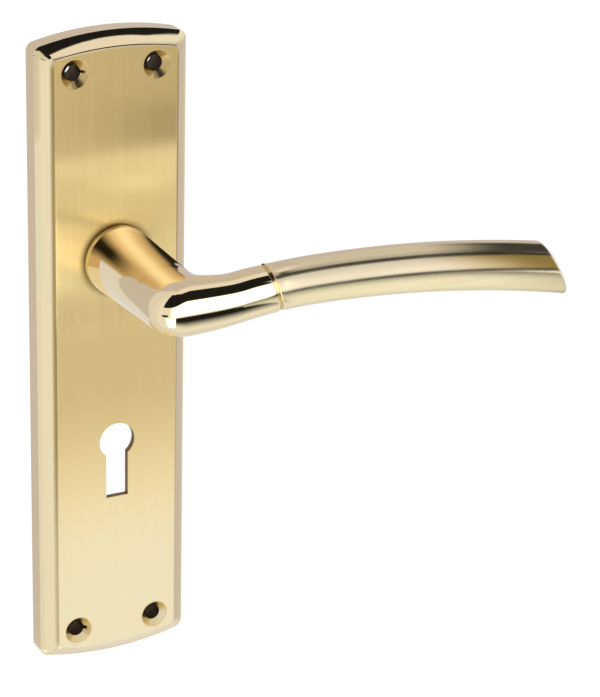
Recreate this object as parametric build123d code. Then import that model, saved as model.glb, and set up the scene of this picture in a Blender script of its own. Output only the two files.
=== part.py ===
from build123d import *
import math
import os

# Sprung lever handle on a long hollow backplate, pierced for a lever-lock key.
# Millimetres. +X is towards the grip's end, +Z is up, and the front faces -Y.
# The origin is on the spindle axis, in the plane of the door's face.

# ---- backplate
PLATE_HEIGHT = 194.0
PLATE_WIDTH = 46.5
PLATE_DEPTH = 9.7          # door face to front face
SIDE_DEPTH = 5.6           # straight side wall, door face to bevel
BEVEL_WIDTH = 4.4          # bevel seen from the front, long sides
END_BEVEL = 4.05           # the same on the two arched ends, at the middle
BEVEL_HOLLOW = 0.2         # the bevel is dished by this much
BEVEL_SPANS = 6
END_RISE = 2.95            # rise of the arched end
FACE_END_RISE = 2.05       # rise of the flat face's arched end
PLATE_WALL = 2.0
CORNER_R = 2.6
FACE_CORNER_R = 0.8
SPINDLE_ABOVE_MIDDLE = 30.5
RIB_THICKNESS = 1.6
RIB_DEPTH = 3.0
RIB_MARGIN = 6.0           # ribs stand this far from what they pass

# ---- fixing holes
HOLE_FROM_SIDE = 10.75
HOLE_FROM_END = 10.5
SHANK_HOLE_R = 2.35
COUNTERSINK_R = 4.4
COUNTERSINK_DEPTH = 2.0
FIXING_BOSS_R = 5.6

# ---- keyhole
SPINDLE_TO_KEY = 57.0
KEY_ROUND_R = 5.55
KEY_SLOT_WIDTH = 6.9
KEY_SLOT_DROP = 17.9       # centre of the round part to the foot of the slot

# ---- lever neck
NECK_BASE_R = 10.3
NECK_END_HALF_WIDTH = 10.0
NECK_END_HALF_HEIGHT = 8.7
NECK_CHAMFER = 0.5
LEVER_STANDOFF = 53.0      # door face to the lever's centre line
ELBOW_INNER_R = 5.7
ELBOW_OUTER_R = 7.0
ELBOW_START_SWELL = 0.6     # gain in half height per quarter turn where the bend starts
ELBOW_END_HALF_HEIGHT = 7.4
ELBOW_DROP = 1.0
ELBOW_EASE_X = 40.0        # where the elbow's drop and fullness have run out
SECTION_RATIO = 0.82       # half depth over half height

# ---- lever arm
ARCH_HEIGHT = 2.25         # crest of the centre line above the spindle axis
ARCH_CREST_X = 38.4
ARCH_RADIUS = 384.0
JOINT_X = 26.4
JOINT_LEAN = 18.0
JOINT_RING_WIDTH = 1.1
JOINT_RING_INSET = 0.35
GRIP_HALF_HEIGHT = 7.0     # at the joint
TIP_HALF_HEIGHT = 7.6
TIP_X = 120.0
TIP_LEAN = 26.4
TIP_EDGE_R = 0.6
OVAL_POINTS = 24
ELBOW_SPANS = 15
ARM_SPANS = 18
STUD_R = 3.0
STUD_IN_NECK = 8.0
STUD_IN_GRIP = 14.0
DOWEL_R = 1.1
DOWEL_LENGTH = 8.0
DOWEL_OFFSET = 4.7

# ---- neck bearing and spigot
SPIGOT_R = 8.0
SPIGOT_END_GAP = 0.6       # spigot end to the door face
FLAT_DEPTH = 1.4           # each flat, into the spigot
BUSH_WALL = 1.1
BUSH_FLANGE = 0.6
BUSH_FLANGE_SHY = 0.4      # flange edge inside the neck's edge
COLLAR_WALL = 2.2
COLLAR_DEPTH = 1.5
WASHER_THICKNESS = 0.6
WASHER_SHY = 0.1           # washer's edge inside the collar's
SLEEVE_CLEARANCE = 0.05
WASHER_CLEARANCE = 0.08

# ---- return spring chamber
CHAMBER_CLEARANCE = 0.9    # end of the spring's leg to the chamber's wall
CHAMBER_WALL = 1.6
COVER_THICKNESS = 1.0
COVER_RECESS = 1.3         # cover's back to the door face
COVER_HOLE_MARGIN = 1.3    # round the circlip
COVER_SCREW_R = 1.2
COVER_SCREW_LENGTH = 4.6
COVER_BOSS_R = 3.1
SCREW_HEAD_R = 2.5
SCREW_HEAD_HEIGHT = 1.0
SCREW_CLEARANCE = 0.05
SCREW_HOLE_CLEARANCE = 0.3
SCREW_SLOT_HALF_LENGTH = 1.5
SCREW_SLOT_HALF_WIDTH = 0.3

# ---- drive cam, stops and spring
CAM_HUB_SHY = 0.5          # hub's edge inside the collar's
CAM_THICKNESS = 1.4
CAM_ARM_CLEARANCE = 0.8    # end of the arm to the chamber's wall
CAM_ARM_HALF_WIDTH = 2.2
CAM_GAP = 0.3              # cam arm to cover
FINGER_THICKNESS = 1.0
TURN_LIMIT = 45.0
STOP_DEPTH = 3.6           # in from the chamber's wall
STOP_SWEEP = 16.0
STOP_CLEARANCE = 0.1
COIL_CLEARANCE = 1.4       # collar to wire
COIL_TURNS = 1.5
COIL_GAP = 0.1             # wire to the wall in front, the arm behind and the next turn
LEG_LENGTH = 1.65
ANCHOR_R = 0.9
ANCHOR_SPARE = 0.5         # pin beyond the wire
ANCHOR_SEAT = 1.0          # pin inside the plate's wall
ANCHOR_FIT = 0.01

# ---- circlip and wave washer
CIRCLIP_THICKNESS = 1.0
CIRCLIP_RIM = 1.7          # outside the spigot
CIRCLIP_GAP_ANGLE = 50.0
GROOVE_DEPTH = 0.8
GROOVE_CLEARANCE = 0.05
WAVE_SPACE = 0.6
WAVE_SHEET = 0.3
WAVE_RIM = 1.9             # outside the spigot

# ---- spindle and its screw
SPINDLE_SIZE = 8.0
SPINDLE_CLEARANCE = 0.05
SPINDLE_IN_NECK = 34.0
SPINDLE_BEYOND_DOOR_FACE = 42.0
SPINDLE_CHAMFER = 0.6
SOCKET_END_GAP = 1.0
GRUB_R = 3.0
GRUB_END_DEPTH = 1.3       # screw's end below the widest part of the neck
GRUB_SET_BACK = 22.0       # door face to the screw's axis
GRUB_KEY_ACROSS = 3.0
GRUB_KEY_DEPTH = 2.2

# ---- how far a cutter runs past what it cuts, and a joined piece into its neighbour
OVERRUN = 1.0
SINK = 0.5

# ---- worked-out places, as distances in front of the door face
PLATE_MIDDLE_Z = -SPINDLE_ABOVE_MIDDLE
HOLE_ROW = PLATE_HEIGHT / 2 - HOLE_FROM_END   # plate's middle to a row of fixing holes
INNER_FACE = PLATE_DEPTH - PLATE_WALL
SHOULDER = PLATE_DEPTH + BUSH_FLANGE
COLLAR_END = INNER_FACE - COLLAR_DEPTH
CAM_FRONT = COLLAR_END - WASHER_THICKNESS
COVER_FRONT = COVER_RECESS + COVER_THICKNESS
CAM_BACK = COVER_FRONT + CAM_GAP
ARM_FRONT = CAM_BACK + CAM_THICKNESS
CIRCLIP_FRONT = CAM_BACK - WAVE_SPACE
CIRCLIP_BACK = CIRCLIP_FRONT - CIRCLIP_THICKNESS
FLAT_HALF_WIDTH = SPIGOT_R - FLAT_DEPTH
CIRCLIP_OUTER_R = SPIGOT_R + CIRCLIP_RIM
COVER_HOLE_R = CIRCLIP_OUTER_R + COVER_HOLE_MARGIN
BUSH_R = SPIGOT_R + SLEEVE_CLEARANCE + BUSH_WALL
PLATE_BORE_R = BUSH_R + SLEEVE_CLEARANCE
COLLAR_R = PLATE_BORE_R + COLLAR_WALL
COIL_SPACE = INNER_FACE - ARM_FRONT - 2 * COIL_GAP
WIRE_R = (COIL_SPACE - COIL_TURNS * COIL_GAP) / (2 * COIL_TURNS + 2)
COIL_R = COLLAR_R + COIL_CLEARANCE + WIRE_R
COIL_HEIGHT = COIL_SPACE - 2 * WIRE_R
LEG_REACH = COIL_R + LEG_LENGTH
CHAMBER_R = LEG_REACH + CHAMBER_CLEARANCE
CAM_ARM_R = CHAMBER_R - CAM_ARM_CLEARANCE
STOP_INNER_R = CHAMBER_R - STOP_DEPTH
COVER_SCREW_OFFSET = CHAMBER_R + CHAMBER_WALL + COVER_BOSS_R
ELBOW_HALF_DEPTH = ELBOW_END_HALF_HEIGHT * SECTION_RATIO
BEND_X = NECK_END_HALF_WIDTH + ELBOW_INNER_R
BEND_OUT = LEVER_STANDOFF - ELBOW_HALF_DEPTH - ELBOW_INNER_R
ELBOW_RUN = math.pi / 2 * (ELBOW_HALF_DEPTH + ELBOW_INNER_R)    # a quarter turn, measured where it ends
EASE_RUN = ELBOW_EASE_X - BEND_X
GRIP_TAPER = (TIP_HALF_HEIGHT - GRIP_HALF_HEIGHT) / (TIP_X - JOINT_X)
ELBOW_FULLNESS = ELBOW_END_HALF_HEIGHT - GRIP_HALF_HEIGHT + GRIP_TAPER * (JOINT_X - BEND_X)
GRUB_LENGTH = NECK_BASE_R - GRUB_END_DEPTH - SPINDLE_SIZE / 2
TIP_SPAN_START = TIP_X - TIP_HALF_HEIGHT      # one span holds the whole slanted tip
STOP_HALF_ANGLE = math.degrees(math.asin((CAM_ARM_HALF_WIDTH + STOP_CLEARANCE) / STOP_INNER_R))


def front_plane(out, x=0.0, z=0.0):
    """Plane facing the front: local x is +X, local y is +Z, local z is -Y."""
    return Plane(origin=(x, -out, z), x_dir=(1, 0, 0), z_dir=(0, -1, 0))


def disc(radius, back, front, x=0.0, z=0.0):
    """Cylinder along the spindle's direction, between two distances in front of the door face."""
    return extrude(front_plane(back, x, z) * Circle(radius), amount=front - back)


def ring(outer, inner, back, front, x=0.0, z=0.0):
    return disc(outer, back, front, x, z) - disc(inner, back - OVERRUN, front + OVERRUN, x, z)


def block(x_low, x_high, back, front, z_low, z_high):
    width, height = x_high - x_low, z_high - z_low
    middle = front_plane(back, (x_low + x_high) / 2, (z_low + z_high) / 2)
    return extrude(middle * Rectangle(width, height), amount=front - back)


def turned(shape, angle):
    """Turn about the spindle axis, from +X towards +Z."""
    return Rot(0, -angle, 0) * shape


# ---------------------------------------------------------------- backplate

def arched_outline(half_width, half_height, rise, corner, out):
    """Upright rectangle with both ends arched, half_height being taken at the middle."""
    shoulder = half_height - rise
    top = ThreePointArc((-half_width, shoulder), (0, half_height), (half_width, shoulder))
    bottom = ThreePointArc((-half_width, -shoulder), (0, -half_height), (half_width, -shoulder))
    left = Line((-half_width, -shoulder), (-half_width, shoulder))
    right = Line((half_width, shoulder), (half_width, -shoulder))
    face = make_face(Curve() + [top, right, bottom, left])
    face = fillet(face.vertices(), corner)
    return front_plane(out, 0, PLATE_MIDDLE_Z) * face


def bevel_outlines(inset, side_depth, face_inset, depth, corner, hollow):
    """Outlines from the side wall's front edge to the flat face's edge."""
    out_of_line = hollow / math.hypot(face_inset - inset, depth - side_depth)
    spans = BEVEL_SPANS if hollow else 1
    for step in range(spans + 1):
        share = step / spans
        dish = 4 * share * (1 - share) * out_of_line
        inward = share + dish * (depth - side_depth) / (face_inset - inset)
        forward = share - dish * (face_inset - inset) / (depth - side_depth)
        end_share = END_BEVEL / BEVEL_WIDTH
        yield arched_outline(PLATE_WIDTH / 2 - inset - inward * (face_inset - inset),
                             PLATE_HEIGHT / 2 - inset - inward * (face_inset * end_share - inset),
                             END_RISE + (FACE_END_RISE - END_RISE) * share,
                             corner + (FACE_CORNER_R - corner) * share,
                             side_depth + forward * (depth - side_depth))


def bevelled_body(inset, side_depth, face_inset, depth, start, hollow=0.0):
    """Outline prism with a bevelled front, every wall drawn in by inset."""
    corner = max(CORNER_R - inset, FACE_CORNER_R)
    base = arched_outline(PLATE_WIDTH / 2 - inset, PLATE_HEIGHT / 2 - inset, END_RISE, corner, start)
    outlines = bevel_outlines(inset, side_depth, face_inset, depth, corner, hollow)
    return extrude(base, amount=side_depth - start) + loft(list(outlines), ruled=True)


def cavity():
    """The space behind the front wall, with its bevel parallel to the outer one."""
    rise = PLATE_DEPTH - SIDE_DEPTH
    slant = math.hypot(BEVEL_WIDTH, rise)
    start_in = PLATE_WALL * rise / slant
    start_out = SIDE_DEPTH - PLATE_WALL * BEVEL_WIDTH / slant
    side = start_out + rise * (PLATE_WALL - start_in) / BEVEL_WIDTH
    face_inset = start_in + BEVEL_WIDTH * (INNER_FACE - start_out) / rise
    return bevelled_body(PLATE_WALL, side, face_inset, INNER_FACE, -OVERRUN)


def keyhole():
    start, end = -OVERRUN, PLATE_DEPTH + OVERRUN
    key_z = -SPINDLE_TO_KEY
    slot = block(-KEY_SLOT_WIDTH / 2, KEY_SLOT_WIDTH / 2, start, end, key_z - KEY_SLOT_DROP, key_z)
    return disc(KEY_ROUND_R, start, end, 0, key_z) + slot


def fixing_places():
    for side in (-1, 1):
        for end in (-1, 1):
            yield side * (PLATE_WIDTH / 2 - HOLE_FROM_SIDE), PLATE_MIDDLE_Z + end * HOLE_ROW


def countersunk_hole(x, z):
    shank = disc(SHANK_HOLE_R, -OVERRUN, PLATE_DEPTH + OVERRUN, x, z)
    small = front_plane(PLATE_DEPTH - COUNTERSINK_DEPTH, x, z) * Circle(SHANK_HOLE_R)
    large = front_plane(PLATE_DEPTH, x, z) * Circle(COUNTERSINK_R)
    return shank + loft([small, large], ruled=True)


def rib_heights():
    """Ribs stand clear of the holes, the spring chamber and the keyhole."""
    chamber = COVER_SCREW_OFFSET + COVER_BOSS_R + RIB_MARGIN
    boss = FIXING_BOSS_R + RIB_MARGIN
    yield PLATE_MIDDLE_Z + HOLE_ROW - boss
    yield chamber
    yield -chamber
    yield -SPINDLE_TO_KEY - KEY_SLOT_DROP - RIB_MARGIN
    yield PLATE_MIDDLE_Z - HOLE_ROW + boss


def inner_castings():
    """What stands up inside the plate: bosses, collar, spring chamber and ribs."""
    top = INNER_FACE + OVERRUN
    for x, z in fixing_places():
        yield disc(FIXING_BOSS_R, 0, top, x, z)
    yield disc(COLLAR_R, COLLAR_END, top)
    yield ring(CHAMBER_R + CHAMBER_WALL, CHAMBER_R, COVER_FRONT, top)
    for end in (-1, 1):
        boss = disc(COVER_BOSS_R, COVER_FRONT, top, 0, end * COVER_SCREW_OFFSET)
        bridge = block(-COVER_BOSS_R, COVER_BOSS_R, COVER_FRONT, top,
                       *sorted((end * CHAMBER_R, end * COVER_SCREW_OFFSET)))
        yield boss + bridge - disc(CHAMBER_R, 0, top + OVERRUN)
    for height in rib_heights():
        yield block(-PLATE_WIDTH, PLATE_WIDTH, INNER_FACE - RIB_DEPTH, top,
                    height - RIB_THICKNESS / 2, height + RIB_THICKNESS / 2)


def backplate():
    space = cavity()
    for casting in inner_castings():
        space -= casting
    shell = bevelled_body(0, SIDE_DEPTH, BEVEL_WIDTH, PLATE_DEPTH, 0, BEVEL_HOLLOW) - space
    for x, z in fixing_places():
        shell -= countersunk_hole(x, z)
    for end in (-1, 1):
        shell -= disc(COVER_SCREW_R + SCREW_CLEARANCE, COVER_FRONT - OVERRUN,
                      COVER_RECESS + COVER_SCREW_LENGTH + SCREW_CLEARANCE, 0, end * COVER_SCREW_OFFSET)
    shell -= disc(PLATE_BORE_R, 0, PLATE_DEPTH + OVERRUN)
    return shell - keyhole() - anchor_pin(ANCHOR_FIT)


# ---------------------------------------------------------------- lever

def elbow_ease(x):
    """1 where the elbow ends, easing to 0 along the arm."""
    return (max(0.0, ELBOW_EASE_X - x) / EASE_RUN) ** 2


def elbow_ease_slope(x):
    return -2 * max(0.0, ELBOW_EASE_X - x) / EASE_RUN ** 2


def centre_height(x):
    """Height of the arm's centre line above the spindle axis."""
    arch = ARCH_HEIGHT - (x - ARCH_CREST_X) ** 2 / (2 * ARCH_RADIUS)
    return arch - ELBOW_DROP * elbow_ease(x)


def centre_slope(x):
    return -(x - ARCH_CREST_X) / ARCH_RADIUS - ELBOW_DROP * elbow_ease_slope(x)


def half_height(x):
    """Half height of the arm's section."""
    return GRIP_HALF_HEIGHT + GRIP_TAPER * (x - JOINT_X) + ELBOW_FULLNESS * elbow_ease(x)


def eased(start, start_rate, end, end_rate, share):
    """Cubic from start to end, with these rates of change at its two ends."""
    left = 1 - share
    return (left ** 2 * (start * (1 + 2 * share) + start_rate * share)
            + share ** 2 * (end * (1 + 2 * left) - end_rate * left))


def oval(origin, upward, normal, tall, deep):
    """Oval section drawn from its top, so that the sections of a loft line up."""
    turns = [2 * math.pi * step / OVAL_POINTS for step in range(OVAL_POINTS)]
    points = [(tall * math.cos(turn), deep * math.sin(turn)) for turn in turns]
    return Plane(origin=origin, x_dir=upward, z_dir=normal) * make_face(Spline(*points, periodic=True))


def foot_chamfer():
    """What the chamfer takes off the foot of the neck, which stands on the bush."""
    run = 2 * NECK_CHAMFER
    small = front_plane(SHOULDER - run) * Circle(NECK_BASE_R - NECK_CHAMFER - run)
    large = front_plane(SHOULDER + run) * Circle(NECK_BASE_R - NECK_CHAMFER + run)
    return disc(NECK_BASE_R + OVERRUN, SHOULDER - run, SHOULDER + run) - loft([small, large], ruled=True)


def neck_section(out):
    share = (out - SHOULDER) / (BEND_OUT - SHOULDER)
    wide = NECK_BASE_R + (NECK_END_HALF_WIDTH - NECK_BASE_R) * share
    tall = NECK_BASE_R + (NECK_END_HALF_HEIGHT - NECK_BASE_R) * share
    return oval((0, -out, 0), (0, 0, 1), (0, -1, 0), tall, wide)


def elbow_reach(angle):
    """Distance from the elbow's pivot to its outer wall, a rounded right angle."""
    across = 2 * NECK_END_HALF_WIDTH + ELBOW_INNER_R
    along = 2 * ELBOW_HALF_DEPTH + ELBOW_INNER_R
    cos, sin = math.cos(angle), math.sin(angle)
    corner = (across - ELBOW_OUTER_R, along - ELBOW_OUTER_R)
    if across * sin <= corner[1] * cos:
        return across / cos
    if along * cos <= corner[0] * sin:
        return along / sin
    toward = corner[0] * cos + corner[1] * sin
    square = corner[0] ** 2 + corner[1] ** 2 - ELBOW_OUTER_R ** 2
    return toward + math.sqrt(toward ** 2 - square)


def elbow_section(degrees):
    angle = math.radians(degrees)
    cos, sin = math.cos(angle), math.sin(angle)
    share = degrees / 90
    reach = elbow_reach(angle)
    middle = (reach + ELBOW_INNER_R) / 2
    deep = (reach - ELBOW_INNER_R) / 2
    lift = eased(0, 0, centre_height(BEND_X), centre_slope(BEND_X) * ELBOW_RUN, share)
    end_swell = (GRIP_TAPER + ELBOW_FULLNESS * elbow_ease_slope(BEND_X)) * ELBOW_RUN
    tall = eased(NECK_END_HALF_HEIGHT, ELBOW_START_SWELL, ELBOW_END_HALF_HEIGHT, end_swell, share)
    origin = (BEND_X - cos * middle, -BEND_OUT - sin * middle, lift)
    return oval(origin, (0, 0, 1), (sin, -cos, 0), tall, deep)


def arm_section(x):
    """Section square to the arch, easing in from upright at the elbow."""
    ease = min(1.0, (x - BEND_X) / (JOINT_X - BEND_X))
    slope = centre_slope(x) * ease
    scale = math.hypot(1, slope)
    normal = (1 / scale, 0, slope / scale)
    upward = (-slope / scale, 0, 1 / scale)
    tall = half_height(x)
    return oval((x, -LEVER_STANDOFF, centre_height(x)), upward, normal, tall, tall * SECTION_RATIO)


def lever_core():
    """The whole outside of the lever, from the shoulder to beyond the tip, in short straight spans."""
    elbow = [elbow_section(90 * step / ELBOW_SPANS) for step in range(ELBOW_SPANS + 1)]
    middle = ELBOW_SPANS // 2
    span = (TIP_SPAN_START - BEND_X) / ARM_SPANS
    arm = [arm_section(BEND_X + span * step) for step in range(1, ARM_SPANS + 1)]
    arm.append(arm_section(TIP_X + TIP_HALF_HEIGHT))
    inner = loft([neck_section(SHOULDER)] + elbow[:middle + 1], ruled=True)
    outer = loft(elbow[middle:] + arm, ruled=True)
    return inner + outer


def arm_plane(x, lean, shift=0.0):
    """Cutting plane across the arm at x, its top leaning back by lean degrees."""
    angle = math.radians(lean)
    normal = Vector(math.cos(angle), 0, math.sin(angle))
    origin = Vector(x, -LEVER_STANDOFF, centre_height(x)) + normal * shift
    return Plane(origin=origin, x_dir=(0, 1, 0), z_dir=normal)


def joint_plane(shift=0.0):
    return arm_plane(JOINT_X, JOINT_LEAN, shift)


def joint_bar(radius, start, length, offset=0.0):
    """Round bar square to the joint, offset up the joint's face."""
    upward = Vector(-math.sin(math.radians(JOINT_LEAN)), 0, math.cos(math.radians(JOINT_LEAN)))
    plane = joint_plane(start)
    shifted = Plane(origin=plane.origin + upward * offset, x_dir=plane.x_dir, z_dir=plane.z_dir)
    return extrude(shifted * Circle(radius), amount=length)


def stud(clearance=0.0):
    return joint_bar(STUD_R + clearance, -STUD_IN_NECK - clearance,
                     STUD_IN_NECK + JOINT_RING_WIDTH + STUD_IN_GRIP + 2 * clearance)


def dowels(clearance=0.0):
    middle = JOINT_RING_WIDTH / 2
    start = middle - DOWEL_LENGTH / 2 - clearance
    length = DOWEL_LENGTH + 2 * clearance
    pins = [joint_bar(DOWEL_R + clearance, start, length, side * DOWEL_OFFSET) for side in (-1, 1)]
    return pins[0] + pins[1]


def joint_ring():
    tilt = math.radians(JOINT_LEAN) - math.atan(centre_slope(JOINT_X))
    tall = half_height(JOINT_X) / math.cos(tilt) - JOINT_RING_INSET
    deep = half_height(JOINT_X) * SECTION_RATIO - JOINT_RING_INSET
    face = joint_plane() * Ellipse(deep, tall)
    body = extrude(face, amount=JOINT_RING_WIDTH)
    return body - stud(SLEEVE_CLEARANCE) - dowels(SLEEVE_CLEARANCE)


def spindle_socket():
    half = SPINDLE_SIZE / 2 + SPINDLE_CLEARANCE
    return block(-half, half, 0, SPINDLE_IN_NECK + SOCKET_END_GAP, -half, half)


def grub_hole():
    half = SPINDLE_SIZE / 2
    plane = Plane(origin=(0, -GRUB_SET_BACK, -half + OVERRUN), x_dir=(1, 0, 0), z_dir=(0, 0, -1))
    return extrude(plane * Circle(GRUB_R + SCREW_CLEARANCE), amount=NECK_BASE_R)


def spigot():
    body = disc(SPIGOT_R, SPIGOT_END_GAP, SHOULDER + SINK)
    for side in (-1, 1):
        z_near, z_far = sorted((side * FLAT_HALF_WIDTH, side * (SPIGOT_R + OVERRUN)))
        body -= block(-SPIGOT_R - OVERRUN, SPIGOT_R + OVERRUN, 0, CAM_FRONT, z_near, z_far)
    groove_back = CIRCLIP_BACK - GROOVE_CLEARANCE
    groove_front = CIRCLIP_FRONT + GROOVE_CLEARANCE
    return body - ring(SPIGOT_R + OVERRUN, SPIGOT_R - GROOVE_DEPTH, groove_back, groove_front)


def lever_neck(core):
    outside = split(core, bisect_by=joint_plane(), keep=Keep.BOTTOM)
    body = outside - foot_chamfer() + spigot()
    body -= spindle_socket() + grub_hole()
    return body - stud(SLEEVE_CLEARANCE) - dowels(SLEEVE_CLEARANCE)


def lever_grip(core):
    outside = split(core, bisect_by=joint_plane(JOINT_RING_WIDTH), keep=Keep.TOP)
    tip_plane = arm_plane(TIP_X, TIP_LEAN)
    body = split(outside, bisect_by=tip_plane, keep=Keep.BOTTOM)
    tip_edges = body.faces().sort_by(Axis.X)[-1].edges()
    body = fillet(tip_edges, TIP_EDGE_R)
    return body - stud(SLEEVE_CLEARANCE) - dowels(SLEEVE_CLEARANCE)


# ---------------------------------------------------------------- bearing and spring

def neck_bush():
    flange = disc(NECK_BASE_R - BUSH_FLANGE_SHY - NECK_CHAMFER, PLATE_DEPTH, SHOULDER)
    body = flange + disc(BUSH_R, COLLAR_END, PLATE_DEPTH + BUSH_FLANGE / 2)
    return body - disc(SPIGOT_R + SLEEVE_CLEARANCE, 0, SHOULDER + OVERRUN)


def thrust_washer():
    return ring(COLLAR_R - WASHER_SHY, SPIGOT_R + WASHER_CLEARANCE, CAM_FRONT, COLLAR_END)


def flatted_hole(back, front):
    hole = disc(SPIGOT_R + SLEEVE_CLEARANCE, back, front)
    half = FLAT_HALF_WIDTH + SLEEVE_CLEARANCE
    return hole & block(-SPIGOT_R - OVERRUN, SPIGOT_R + OVERRUN, back, front, -half, half)


def drive_cam():
    """Flatted disc with one arm at the left, and a finger that drives the spring's leg."""
    hub = disc(COLLAR_R - CAM_HUB_SHY, CAM_BACK, CAM_FRONT)
    arm = block(-CAM_ARM_R, 0, CAM_BACK, ARM_FRONT, -CAM_ARM_HALF_WIDTH, CAM_ARM_HALF_WIDTH)
    finger = block(-CAM_ARM_R, -CAM_ARM_R + FINGER_THICKNESS, CAM_BACK,
                   ARM_FRONT + COIL_GAP + 2 * WIRE_R, 0, CAM_ARM_HALF_WIDTH)
    return hub + arm + finger - flatted_hole(0, PLATE_DEPTH)


def stop_buffer(start_angle):
    """Block against the chamber's wall, covering STOP_SWEEP degrees from start_angle."""
    body = ring(CHAMBER_R, STOP_INNER_R, COVER_FRONT, ARM_FRONT)
    reach = 2 * CHAMBER_R
    low, high = math.radians(start_angle), math.radians(start_angle + STOP_SWEEP)
    points = [(0, 0), (reach * math.cos(low), reach * math.sin(low)),
              (reach * math.cos(high), reach * math.sin(high))]
    wedge = make_face(Polyline(*points, close=True))
    return body & extrude(front_plane(0) * wedge, amount=PLATE_DEPTH)


def stop_buffers():
    """Two blocks that the cam's arm meets, at rest and at the end of its turn."""
    rest_stop = stop_buffer(180 + STOP_HALF_ANGLE)
    turn_stop = stop_buffer(180 - TURN_LIMIT - STOP_HALF_ANGLE - STOP_SWEEP)
    return rest_stop + turn_stop


def moving_leg_angle():
    """The wire lies against the finger's leading side."""
    return 180 - math.degrees(math.asin((CAM_ARM_HALF_WIDTH + WIRE_R + STOP_CLEARANCE) / LEG_REACH))


def wire_leg(out, angle):
    plane = Plane(origin=(0, -out, 0), x_dir=(0, 1, 0), z_dir=(1, 0, 0))
    leg = extrude(plane.offset(COIL_R) * Circle(WIRE_R), amount=LEG_REACH - COIL_R)
    return turned(leg, angle)


def return_spring():
    """Torsion spring round the collar, its front leg held and its back leg driven."""
    back = ARM_FRONT + COIL_GAP + WIRE_R
    start = Plane(origin=(0, -back, 0), x_dir=(1, 0, 0), z_dir=(0, -1, 0))
    path = start * Helix(pitch=COIL_HEIGHT / COIL_TURNS, height=COIL_HEIGHT, radius=COIL_R)
    section = Plane(origin=path @ 0, z_dir=path % 0) * Circle(WIRE_R)
    coil = sweep(section, path=path, is_frenet=True)
    body = coil + wire_leg(back, 0) + wire_leg(back + COIL_HEIGHT, 360 * COIL_TURNS)
    return turned(body, moving_leg_angle())


def anchor_angle():
    """The pin stands on the side that the held leg presses against."""
    leg = moving_leg_angle() + 360 * COIL_TURNS
    return leg - math.degrees((ANCHOR_R + WIRE_R) / LEG_REACH)


def anchor_pin(clearance=0.0):
    back = INNER_FACE - COIL_GAP - 2 * WIRE_R - ANCHOR_SPARE
    angle = math.radians(anchor_angle())
    x, z = LEG_REACH * math.cos(angle), LEG_REACH * math.sin(angle)
    return disc(ANCHOR_R + clearance, back, INNER_FACE + ANCHOR_SEAT + clearance, x, z)


def spring_cover():
    body = disc(CHAMBER_R + CHAMBER_WALL, COVER_RECESS, COVER_FRONT)
    for end in (-1, 1):
        body += disc(COVER_BOSS_R, COVER_RECESS, COVER_FRONT, 0, end * COVER_SCREW_OFFSET)
        body += block(-COVER_BOSS_R, COVER_BOSS_R, COVER_RECESS, COVER_FRONT,
                      *sorted((end * CHAMBER_R, end * COVER_SCREW_OFFSET)))
    for end in (-1, 1):
        body -= disc(COVER_SCREW_R + SCREW_HOLE_CLEARANCE, 0, PLATE_DEPTH, 0, end * COVER_SCREW_OFFSET)
    return body - disc(COVER_HOLE_R, 0, PLATE_DEPTH)


def cover_screw(z):
    top = COVER_RECESS - SCREW_HEAD_HEIGHT
    head = disc(SCREW_HEAD_R, top, COVER_RECESS, 0, z)
    shank = disc(COVER_SCREW_R, top, COVER_RECESS + COVER_SCREW_LENGTH, 0, z)
    long, thin = SCREW_SLOT_HALF_LENGTH, SCREW_SLOT_HALF_WIDTH
    depth = top + SCREW_HEAD_HEIGHT / 2
    cross = block(-long, long, 0, depth, z - thin, z + thin)
    cross += block(-thin, thin, 0, depth, z - long, z + long)
    return head + shank - cross


def cover_screws():
    return cover_screw(-COVER_SCREW_OFFSET) + cover_screw(COVER_SCREW_OFFSET)


def wave_washer():
    """Washer bowed about the X axis, filling the space between cam and circlip."""
    half = SPIGOT_R + WAVE_RIM
    rise = WAVE_SPACE - WAVE_SHEET
    radius = (half ** 2 + rise ** 2) / (2 * rise)
    centre_out = CIRCLIP_FRONT + rise - radius
    axis_plane = Plane(origin=(-half - OVERRUN, -centre_out, 0), x_dir=(0, -1, 0), z_dir=(1, 0, 0))
    sheet = axis_plane * (Circle(radius + WAVE_SHEET) - Circle(radius))
    bowed = extrude(sheet, amount=2 * (half + OVERRUN))
    return bowed & ring(half, SPIGOT_R + SLEEVE_CLEARANCE, CIRCLIP_FRONT, CAM_BACK)


def circlip():
    body = ring(CIRCLIP_OUTER_R, SPIGOT_R - GROOVE_DEPTH + GROOVE_CLEARANCE, CIRCLIP_BACK, CIRCLIP_FRONT)
    half = math.radians(CIRCLIP_GAP_ANGLE / 2)
    reach = 2 * CIRCLIP_OUTER_R
    spread = reach * math.tan(half)
    wedge = make_face(Polyline((0, 0), (reach, -spread), (reach, spread), close=True))
    return body - extrude(front_plane(0) * wedge, amount=PLATE_DEPTH)


# ---------------------------------------------------------------- spindle

def spindle():
    half = SPINDLE_SIZE / 2
    bar = block(-half, half, -SPINDLE_BEYOND_DOOR_FACE, SPINDLE_IN_NECK, -half, half)
    ends = bar.faces().filter_by(Axis.Y)
    return chamfer(ends.edges(), SPINDLE_CHAMFER)


def spindle_grub_screw():
    half = SPINDLE_SIZE / 2
    plane = Plane(origin=(0, -GRUB_SET_BACK, -half), x_dir=(1, 0, 0), z_dir=(0, 0, -1))
    body = extrude(plane * Circle(GRUB_R), amount=GRUB_LENGTH)
    key = RegularPolygon(GRUB_KEY_ACROSS / 2, 6, major_radius=False)
    return body - extrude(plane.offset(GRUB_LENGTH - GRUB_KEY_DEPTH) * key, amount=GRUB_KEY_DEPTH + OVERRUN)


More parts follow.
